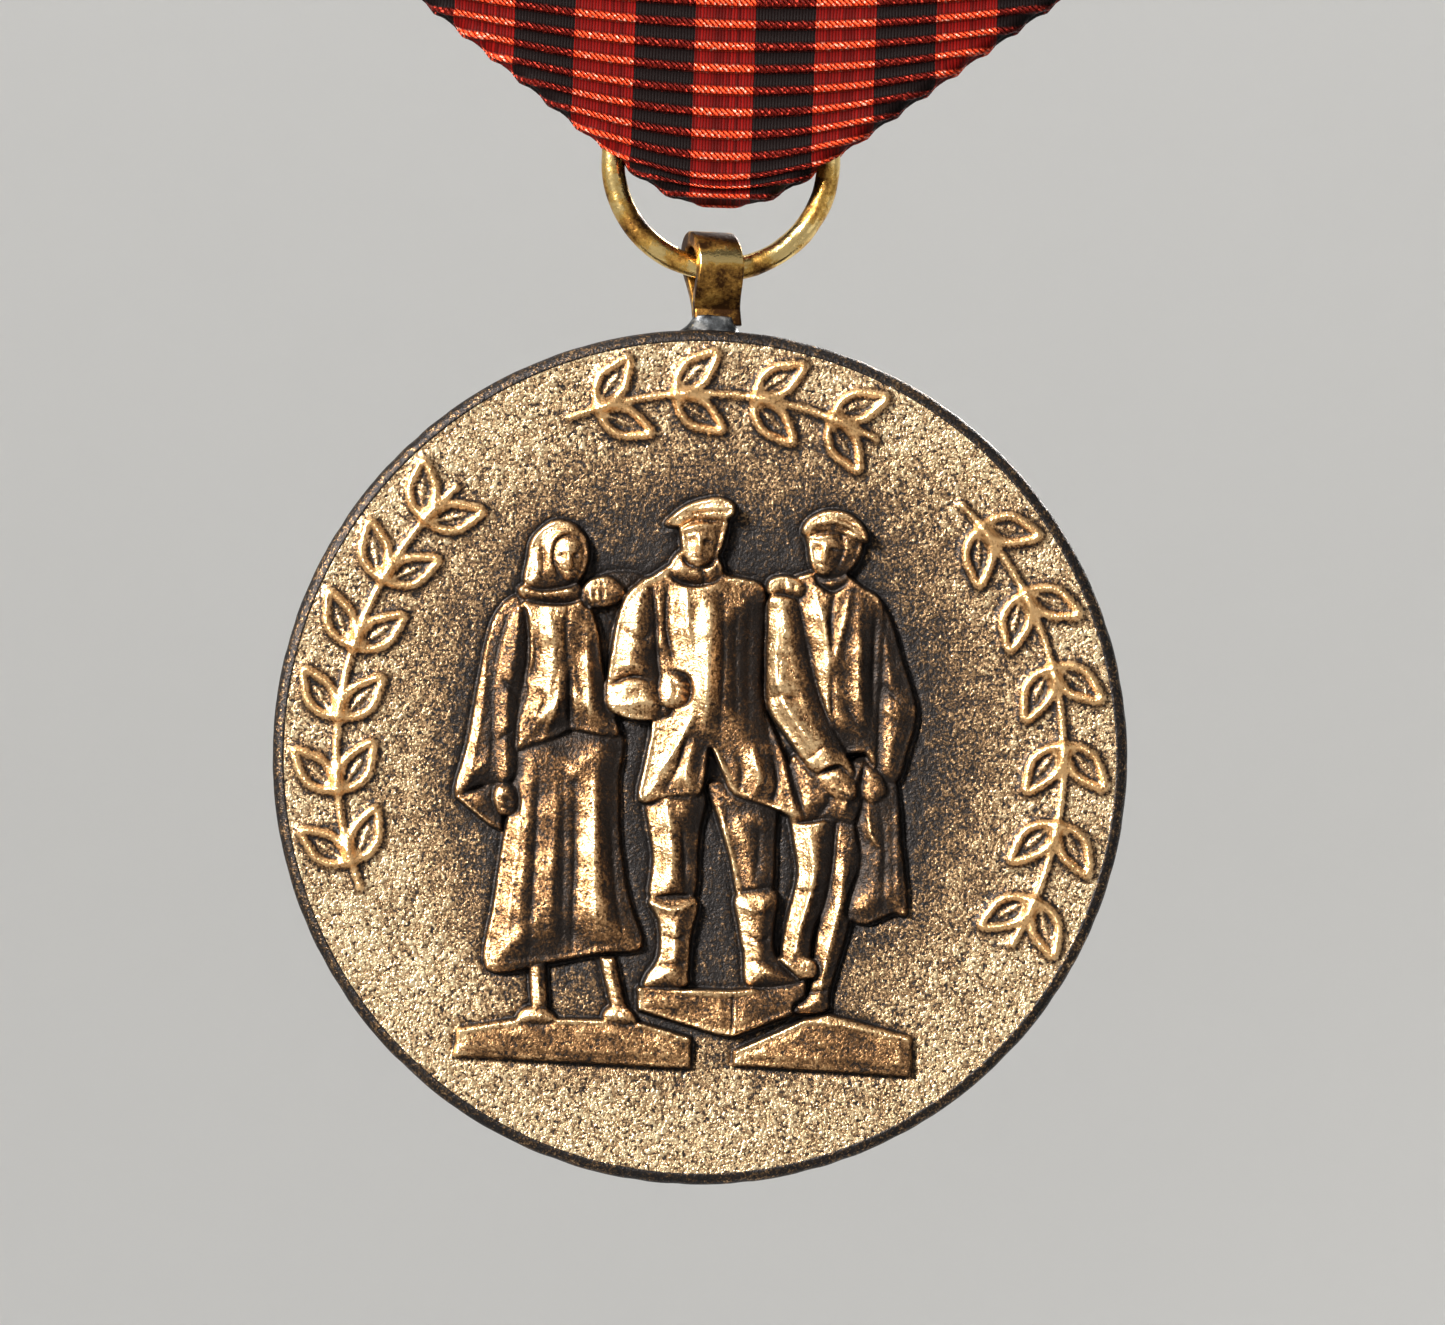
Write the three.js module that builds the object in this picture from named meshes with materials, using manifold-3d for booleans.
// A struck bronze medal on a folded, five-sided ribbon, as it hangs when worn.
//
// The disc is a coin-like blank struck with three standing figures and a border of leaves.
// A flat strip, bent into an eye, is soldered to its edge and turns on a round wire ring.
// The ring lies in the pocket that the ribbon's folded tip makes. The ribbon is one strip,
// folded over a thin backing plate, with a bar brooch sewn to its rear.
//
// Millimetres. +X is to the wearer's left as the front is seen, +Y is to the rear, +Z is up.
// Inside the assembly, zero is the disc's centre and the plane of the ring. The assembly is
// then placed so that the part's origin is the middle of the brooch bar's rear face.

import * as THREE from "three";
import { mergeVertices } from "three/addons/utils/BufferGeometryUtils.js";
import Module from "manifold-3d";

// Driving dimensions.
const DISC_RADIUS = 18;
const DISC_THICKNESS = 3;
const FACE_RADIUS = 17.5;
const DISH_DEPTH = 0.35;
const REAR_RIM_RADIUS = 16.4;
const REAR_FIELD_DEPTH = 0.25;
const FIGURE_HEIGHT = 1.0;
const LEAF_HEIGHT = 0.3;

const RING_MEAN_RADIUS = 4.55;
const WIRE_RADIUS = 0.5;
const RING_BUTT_GAP = 0.12;

const EYE_STRIP = 0.65;
const EYE_WIDTH = 2;
const EYE_HOLE_RADIUS = 0.95;
const EYE_SEAM = 0.06;

const RIBBON_WIDTH = 38;
const RIBBON_HEIGHT = 47;
const CLOTH = 0.45;
const TIP_HALF_WIDTH = 1.25;
const V_ANGLE = THREE.MathUtils.degToRad(37);

const BAR_LENGTH = 32;
const BAR_WIDTH = 4.6;
const BAR_THICKNESS = 0.5;
const HINGE_REACH = 1.9;
const NEEDLE_RADIUS = 0.45;

// Heights above the disc's centre.
const WIRE_Z = 20.6;
const RING_Z = WIRE_Z + RING_MEAN_RADIUS;
const TIP_Z = 23.3;
const APEX_Z = 22.4;
const FLEX_Z = 31;
const FLEX_GAP = 1;
const TOP_Z = TIP_Z + RIBBON_HEIGHT;
const BAR_Z = 60;

// Distances from the plane of the ring, front negative.
const FRONT_Y = -1.6;
const FRONT_FLAP_Y = -1.1;
const REAR_FLAP_Y = 0.3;
const REAR_Y = 0.7;
const STRIP_END_Y = 1.2;
const BAR_Y = 1.7;
const BAR_REAR_Y = BAR_Y + BAR_THICKNESS;
const LAYER_GAP = 0.05;

const wasm = await Module();
wasm.setup();

// Solids, joined and cut.

function solidOf(geometry) {
  const bare = geometry.clone();
  bare.deleteAttribute("normal");
  bare.deleteAttribute("uv");
  const merged = mergeVertices(bare, 1e-4);
  return new wasm.Manifold(
    new wasm.Mesh({
      numProp: 3,
      vertProperties: new Float32Array(merged.attributes.position.array),
      triVerts: new Uint32Array(merged.index.array),
    }),
  );
}

function geometryOf(solid) {
  const mesh = solid.getMesh();
  const geometry = new THREE.BufferGeometry();
  geometry.setAttribute("position", new THREE.BufferAttribute(mesh.vertProperties, 3));
  geometry.setIndex(new THREE.BufferAttribute(mesh.triVerts, 1));
  geometry.computeVertexNormals();
  return geometry;
}

function join(first, ...others) {
  return geometryOf(others.reduce((sum, next) => sum.add(solidOf(next)), solidOf(first)));
}

// Shapes, extruded.

function outline(points) {
  return new THREE.Shape(points.map(([x, y]) => new THREE.Vector2(x, y)));
}

function round(x, y, radius) {
  return new THREE.Shape().absarc(x, y, radius, 0, 2 * Math.PI);
}

function extruded(shape, depth) {
  return new THREE.ExtrudeGeometry(shape, { depth, bevelEnabled: false, curveSegments: 10 });
}

// An upright plate: the shape's own axes are X and Z, and it lies between two depths in Y.
function plate(shape, yFront, yRear) {
  return extruded(shape, yRear - yFront).rotateX(Math.PI / 2).translate(0, yRear, 0);
}

// A strip seen from its end: the shape's own axes are Y and Z, and it runs along X.
function strip(shape, xMiddle, width) {
  const turn = new THREE.Matrix4().makeBasis(
    new THREE.Vector3(0, 1, 0),
    new THREE.Vector3(0, 0, 1),
    new THREE.Vector3(1, 0, 0),
  );
  return extruded(shape, width).applyMatrix4(turn).translate(xMiddle - width / 2, 0, 0);
}

// A flat piece seen from above: the shape's own axes are X and Y, and it is centred on a height.
function shelf(shape, zMiddle, height) {
  return extruded(shape, height).translate(0, 0, zMiddle - height / 2);
}

function mirrored(points) {
  return points.map(([x, y]) => [-x, y]).reverse();
}

// Materials.

function material(color, roughness, metalness) {
  return new THREE.MeshStandardMaterial({ color, roughness, metalness });
}

const bronze = material(0x8a6a3c, 0.45, 0.9);
const gilt = material(0xb98a3a, 0.3, 1);
const solder = material(0xb4b7b5, 0.4, 0.9);
const cloth = material(0xa3160f, 0.85, 0);
const steel = material(0x8d9093, 0.4, 0.95);
const card = material(0x7f7461, 0.8, 0);
const thread = material(0x2a0f0d, 0.9, 0);

// The disc.

const WOMAN = [
  [-7.2, 7], [-8.7, 5.8], [-9.4, 3], [-10.2, -1.9], [-8.5, -3], [-8.6, -9.2],
  [-6.9, -8.9], [-6.9, -11.4], [-6, -11.4], [-6.1, -8.8], [-3.9, -8.4], [-3.4, -11.4],
  [-2.6, -11.4], [-3.1, -8.2], [-2.2, -8], [-3.3, -2.9], [-3.6, 0.8], [-4.3, 4.4], [-5, 6.6],
];
const MIDDLE_MAN = [
  [-1.3, 8.2], [-3.5, 7], [-4, 2.1], [-3, 1.5], [-2.3, -1.9], [-2, -6], [-1.6, -9.9],
  [0, -9.9], [0.1, -1.4], [1.9, -5.8], [2.4, -9.6], [4.5, -9.3], [3.4, -7.8], [3.2, -5.4],
  [3.1, -2], [4.5, -2.4], [3.6, 0.3], [3, 4.9], [2.5, 7.4], [0.6, 8.2],
];
const RIGHT_MAN = [
  [4.7, 8.1], [2.7, 7.3], [2.8, 2], [4.1, -0.4], [4, -4.8], [3.8, -8.3], [4.9, -8.3],
  [5.5, -9.8], [6.2, -9.8], [6.7, -7], [8.9, -6.2], [8.3, -0.5], [9, 2.3], [8.1, 5.8], [7.2, 7.2], [5.7, 8.1],
];
const LEFT_PLINTH = [[-9.9, -13.1], [0, -13.1], [0, -11.8], [-2.4, -11.2], [-9.6, -11.6]];
const RIGHT_PLINTH = [[1.9, -13.1], [9.4, -13.1], [9.2, -11.4], [5.6, -10.6], [1.9, -12.1]];
const MIDDLE_PLINTH = [[-2.2, -10.7], [1.3, -11.8], [4.8, -10.5], [4.7, -9.2], [-2.3, -9.7]];
const HEADS = [[-6.2, 8.3, 1.35], [-0.6, 9.2, 1.4], [5.2, 9, 1.4]];

const LEAF_RADIUS = 15.1;
const LEAF_LENGTH = 2;
const LEAF_WIDTH = 0.85;
const LEAF_PAIRS = 23;
const LEAF_FIRST_ANGLE = THREE.MathUtils.degToRad(208);
const LEAF_LAST_ANGLE = THREE.MathUtils.degToRad(-28);

// The front is gently dished right to its edge. The rear has a flat raised rim.
function discBlank() {
  const half = DISC_THICKNESS / 2;
  const bevel = DISC_RADIUS - FACE_RADIUS;
  const profile = [];
  for (const share of [0, 0.25, 0.5, 0.75, 1]) {
    profile.push([share * FACE_RADIUS, -half + DISH_DEPTH * (1 - share * share)]);
  }
  profile.push(
    [DISC_RADIUS, -half + bevel],
    [DISC_RADIUS, half - bevel],
    [FACE_RADIUS, half],
    [REAR_RIM_RADIUS, half],
    [REAR_RIM_RADIUS - REAR_FIELD_DEPTH, half - REAR_FIELD_DEPTH],
    [0, half - REAR_FIELD_DEPTH],
  );
  return new THREE.LatheGeometry(profile.map(([radius, y]) => new THREE.Vector2(radius, y)), 96);
}

// Leaves in pairs along the border, from low on the left, over the top, to low on the right.
function borderLeaves() {
  const leaf = new THREE.Shape();
  leaf.moveTo(-LEAF_LENGTH / 2, 0);
  leaf.quadraticCurveTo(0, LEAF_WIDTH, LEAF_LENGTH / 2, 0);
  leaf.quadraticCurveTo(0, -LEAF_WIDTH, -LEAF_LENGTH / 2, 0);
  const leaves = [];
  for (let i = 0; i < LEAF_PAIRS; i++) {
    const share = i / (LEAF_PAIRS - 1);
    const angle = THREE.MathUtils.lerp(LEAF_FIRST_ANGLE, LEAF_LAST_ANGLE, share);
    for (const side of [-1, 1]) {
      const geometry = new THREE.ExtrudeGeometry(leaf, {
        depth: DISC_THICKNESS / 2 - 0.1 + LEAF_HEIGHT,
        bevelEnabled: false,
        curveSegments: 4,
      });
      geometry.rotateZ(angle - Math.PI / 2 + side * 0.6);
      const radius = LEAF_RADIUS + side * 0.72;
      geometry.translate(radius * Math.cos(angle), radius * Math.sin(angle), 0);
      leaves.push(geometry.rotateX(Math.PI / 2));
    }
  }
  return leaves;
}

function medalDisc() {
  const field = -DISC_THICKNESS / 2 + DISH_DEPTH;
  const raised = (points, height) => plate(outline(points), field - height, 0);
  return join(
    discBlank(),
    ...[WOMAN, RIGHT_MAN].map((points) => raised(points, 0.8 * FIGURE_HEIGHT)),
    raised(MIDDLE_MAN, FIGURE_HEIGHT),
    ...[LEFT_PLINTH, RIGHT_PLINTH].map((points) => raised(points, 0.7 * FIGURE_HEIGHT)),
    raised(MIDDLE_PLINTH, 0.9 * FIGURE_HEIGHT),
    ...HEADS.map(([x, z, radius]) => plate(round(x, z, radius), field - FIGURE_HEIGHT, 0)),
    ...borderLeaves(),
  );
}

// The eye and its solder.

const BEAD_Z = DISC_RADIUS + 0.03;
const BEAD_HEIGHT = 0.42;
const EYE_FOOT_Z = BEAD_Z + BEAD_HEIGHT + LAYER_GAP;

// One strip, up the front, round the wire and down the rear, its two legs side by side.
function suspensionEye() {
  const outer = EYE_HOLE_RADIUS + EYE_STRIP;
  const foot = EYE_SEAM / 2 + EYE_STRIP;
  const shoulder = THREE.MathUtils.degToRad(-28);
  const mouth = Math.asin(EYE_SEAM / 2 / EYE_HOLE_RADIUS);
  const shape = new THREE.Shape();
  shape.moveTo(foot, EYE_FOOT_Z);
  shape.absarc(0, WIRE_Z, outer, shoulder, Math.PI - shoulder, false);
  shape.lineTo(-foot, EYE_FOOT_Z);
  shape.lineTo(-EYE_SEAM / 2, EYE_FOOT_Z);
  shape.absarc(0, WIRE_Z, EYE_HOLE_RADIUS, 1.5 * Math.PI - mouth, -0.5 * Math.PI + mouth, true);
  shape.lineTo(EYE_SEAM / 2, EYE_FOOT_Z);
  return strip(shape, 0, EYE_WIDTH);
}

function solderBead() {
  const bottom = 1.15;
  const top = 0.78;
  const shape = outline([
    [-bottom, BEAD_Z], [bottom, BEAD_Z], [top, BEAD_Z + BEAD_HEIGHT], [-top, BEAD_Z + BEAD_HEIGHT],
  ]);
  return strip(shape, 0, 1.3 * EYE_WIDTH);
}

// The ring: a bent wire whose ends meet at a butt, hidden in the ribbon.

class RingWire extends THREE.Curve {
  getPoint(share, target = new THREE.Vector3()) {
    const gap = RING_BUTT_GAP / RING_MEAN_RADIUS;
    const angle = Math.PI / 2 + gap / 2 + share * (2 * Math.PI - gap);
    return target.set(
      RING_MEAN_RADIUS * Math.cos(angle),
      0,
      RING_Z + RING_MEAN_RADIUS * Math.sin(angle),
    );
  }
}

function suspensionRing() {
  return new THREE.ExtrudeGeometry(round(0, 0, WIRE_RADIUS), {
    steps: 56,
    curveSegments: 12,
    extrudePath: new RingWire(),
  });
}

// The ribbon: flat stretches of one strip.

function halfWidthAt(z) {
  return Math.min(RIBBON_WIDTH / 2, (z - APEX_Z) / Math.tan(V_ANGLE));
}

const SHOULDER_Z = APEX_Z + (RIBBON_WIDTH / 2) * Math.tan(V_ANGLE);
const UPPER_Z = FLEX_Z + FLEX_GAP / 2;
const LOWER_Z = FLEX_Z - FLEX_GAP / 2;
const PANEL_TOP_Z = TOP_Z - CLOTH - LAYER_GAP;

function ribbonPanel(yFront) {
  const right = [
    [halfWidthAt(UPPER_Z), UPPER_Z],
    [RIBBON_WIDTH / 2, SHOULDER_Z],
    [RIBBON_WIDTH / 2, PANEL_TOP_Z],
  ];
  return plate(outline([...right, ...mirrored(right)]), yFront, yFront + CLOTH);
}

// The strip's side, turned in behind its panel along the edge of the V.
function ribbonFlap(side, yFront, thickness) {
  const inset = 0.3;
  const lean = Math.PI / 2 - 2 * V_ANGLE;
  const reach = RIBBON_WIDTH / 2 - inset;
  const innerX = (z) => (z - APEX_Z) * Math.tan(lean);
  const innerZ = APEX_Z + reach * Math.cos(lean);
  const points = [
    [halfWidthAt(UPPER_Z) - inset, UPPER_Z],
    [reach, SHOULDER_Z],
    [innerX(innerZ), innerZ],
    [innerX(UPPER_Z), UPPER_Z],
  ];
  const shape = outline(side > 0 ? points : mirrored(points));
  return plate(shape, yFront, yFront + thickness);
}

function ribbonTopFold() {
  const rear = STRIP_END_Y + CLOTH;
  const endZ = BAR_Z - 4;
  return strip(
    outline([
      [FRONT_Y, TOP_Z - CLOTH], [STRIP_END_Y, TOP_Z - CLOTH], [STRIP_END_Y, endZ],
      [rear, endZ], [rear, TOP_Z], [FRONT_Y, TOP_Z],
    ]),
    0,
    RIBBON_WIDTH,
  );
}

function ribbonTipPanel(yFront, yRear) {
  const right = [[TIP_HALF_WIDTH, TIP_Z], [halfWidthAt(LOWER_Z), LOWER_Z]];
  return plate(outline([...right, ...mirrored(right)]), yFront, yRear);
}

function ribbonTipFold(yFront, yRear) {
  const height = 0.9;
  const right = [[TIP_HALF_WIDTH, TIP_Z], [halfWidthAt(TIP_Z + height), TIP_Z + height]];
  return plate(outline([...right, ...mirrored(right)]), yFront, yRear);
}

function backingPlate() {
  const inset = 0.9;
  const bottomZ = FLEX_Z + 2;
  const right = [
    [halfWidthAt(bottomZ) - inset, bottomZ],
    [RIBBON_WIDTH / 2 - inset, SHOULDER_Z],
    [RIBBON_WIDTH / 2 - inset, TOP_Z - 1.2],
  ];
  return plate(outline([...right, ...mirrored(right)]), -0.2, 0.2);
}

// The brooch. Its own middle is the bar's middle, at the disc's centre plus BAR_Z.

const HINGE_X = -13;
const HINGE_Y = BAR_REAR_Y + HINGE_REACH;
const CATCH_X = 13;
const CATCH_WIDTH = 3;
const EAR_INNER = 0.55;
const EAR_THICKNESS = 0.5;
const RIVET_RADIUS = 0.5;
const SEWING_HOLE_RADIUS = 0.55;
const SEWING_HOLE_Z = 1.25;
const STITCHES = { bar_stitch_left: -9, bar_stitch_middle: 0, bar_stitch_right: 9 };

function hingeEar(side) {
  const top = 1.15;
  const shape = new THREE.Shape();
  shape.moveTo(HINGE_X - top, BAR_Y);
  shape.lineTo(HINGE_X + top, BAR_Y);
  shape.absarc(HINGE_X, HINGE_Y, top, 0, Math.PI, false);
  shape.holes.push(round(HINGE_X, HINGE_Y, RIVET_RADIUS + 0.06));
  return shelf(shape, BAR_Z + side * (EAR_INNER + EAR_THICKNESS / 2), EAR_THICKNESS);
}

// The bar: a stamped strip with round ends, sewing holes and two ears turned up at one end.
function pinBar() {
  const end = BAR_WIDTH / 2;
  const straight = BAR_LENGTH / 2 - end;
  const shape = new THREE.Shape();
  shape.absarc(straight, BAR_Z, end, -Math.PI / 2, Math.PI / 2, false);
  shape.absarc(-straight, BAR_Z, end, Math.PI / 2, 1.5 * Math.PI, false);
  for (const x of Object.values(STITCHES)) {
    for (const side of [-1, 1]) {
      shape.holes.push(round(x, BAR_Z + side * SEWING_HOLE_Z, SEWING_HOLE_RADIUS));
    }
  }
  return join(plate(shape, BAR_Y, BAR_REAR_Y), hingeEar(-1), hingeEar(1));
}

function hingeRivet() {
  const half = EAR_INNER + EAR_THICKNESS + LAYER_GAP;
  const head = 0.3;
  const profile = [
    [0, -half - head], [0.85, -half - head], [0.85, -half], [RIVET_RADIUS, -half],
    [RIVET_RADIUS, half], [0.85, half], [0.85, half + head], [0, half + head],
  ];
  return new THREE.LatheGeometry(profile.map(([radius, y]) => new THREE.Vector2(radius, y)), 24)
    .rotateX(Math.PI / 2)
    .translate(HINGE_X, HINGE_Y, BAR_Z);
}

// A wire with a flattened eye at the rivet and a drawn point that reaches past the catch.
function needle() {
  const eye = round(HINGE_X, HINGE_Y, 1.25);
  eye.holes.push(round(HINGE_X, HINGE_Y, RIVET_RADIUS + 0.08));
  const start = 0.9;
  const length = CATCH_X + CATCH_WIDTH / 2 + 0.8 - HINGE_X;
  const point = 4.5;
  const profile = [
    [0, start], [NEEDLE_RADIUS, start], [NEEDLE_RADIUS, length - point],
    [0.75 * NEEDLE_RADIUS, length - 0.45 * point], [0, length],
  ];
  const wire = new THREE.LatheGeometry(
    profile.map(([radius, y]) => new THREE.Vector2(radius, y)),
    16,
  );
  wire.rotateZ(-Math.PI / 2).translate(HINGE_X, HINGE_Y, BAR_Z);
  return join(shelf(eye, BAR_Z, 2 * NEEDLE_RADIUS), wire);
}

// A sheet trough, open to the rear, that the needle's point springs into.
function needleCatch() {
  const floor = BAR_REAR_Y + LAYER_GAP;
  const inner = NEEDLE_RADIUS + 0.15;
  const wall = 0.45;
  const lip = HINGE_Y + 0.8;
  const right = [
    [floor, BAR_Z + inner + wall], [lip, BAR_Z + inner + wall + 0.2], [lip, BAR_Z + inner + 0.2],
    [floor + wall, BAR_Z + inner],
  ];
  const left = right.map(([y, z]) => [y, 2 * BAR_Z - z]).reverse();
  return strip(outline([...right, ...left].reverse()), CATCH_X, CATCH_WIDTH);
}

// Sewing thread, down through one hole, across the bar and down through the other.
function barStitch(x) {
  const thick = 0.45;
  const half = SEWING_HOLE_Z + thick / 2;
  const foot = STRIP_END_Y + CLOTH + LAYER_GAP;
  const top = BAR_REAR_Y + 0.1;
  const shape = outline([
    [foot, BAR_Z - half], [top + thick, BAR_Z - half], [top + thick, BAR_Z + half],
    [foot, BAR_Z + half], [foot, BAR_Z + half - thick], [top, BAR_Z + half - thick],
    [top, BAR_Z - half + thick], [foot, BAR_Z - half + thick],
  ]);
  return strip(shape, x, 0.6);
}

// The assembly.

const assembly = new THREE.Group();
assembly.position.set(0, -BAR_REAR_Y, -BAR_Z);

function add(name, geometry, finish) {
  const mesh = new THREE.Mesh(geometry, finish);
  mesh.name = name;
  assembly.add(mesh);
}

add("ribbon_front", ribbonPanel(FRONT_Y), cloth);
add("ribbon_rear", ribbonPanel(REAR_Y), cloth);
add("ribbon_front_left_flap", ribbonFlap(-1, FRONT_FLAP_Y, 0.4), cloth);
add("ribbon_front_right_flap", ribbonFlap(1, FRONT_FLAP_Y, 0.4), cloth);
add("ribbon_rear_left_flap", ribbonFlap(-1, REAR_FLAP_Y, 0.35), cloth);
add("ribbon_rear_right_flap", ribbonFlap(1, REAR_FLAP_Y, 0.35), cloth);
add("ribbon_top_fold", ribbonTopFold(), cloth);
add("ribbon_tip_front", ribbonTipPanel(FRONT_Y, FRONT_FLAP_Y + 0.42), cloth);
add("ribbon_tip_rear", ribbonTipPanel(0.64, REAR_Y + CLOTH), cloth);
add("ribbon_tip_fold", ribbonTipFold(FRONT_FLAP_Y + 0.47, 0.59), cloth);
add("backing_plate", backingPlate(), card);
add("pin_bar", pinBar(), steel);
add("hinge_rivet", hingeRivet(), steel);
add("needle", needle(), steel);
add("needle_catch", needleCatch(), steel);
for (const [name, x] of Object.entries(STITCHES)) {
  add(name, barStitch(x), thread);
}
add("suspension_ring", suspensionRing(), gilt);
add("medal_disc", medalDisc(), bronze);
add("suspension_eye", suspensionEye(), gilt);
add("solder_bead", solderBead(), solder);

const medal = new THREE.Group();
medal.add(assembly);

export default medal;
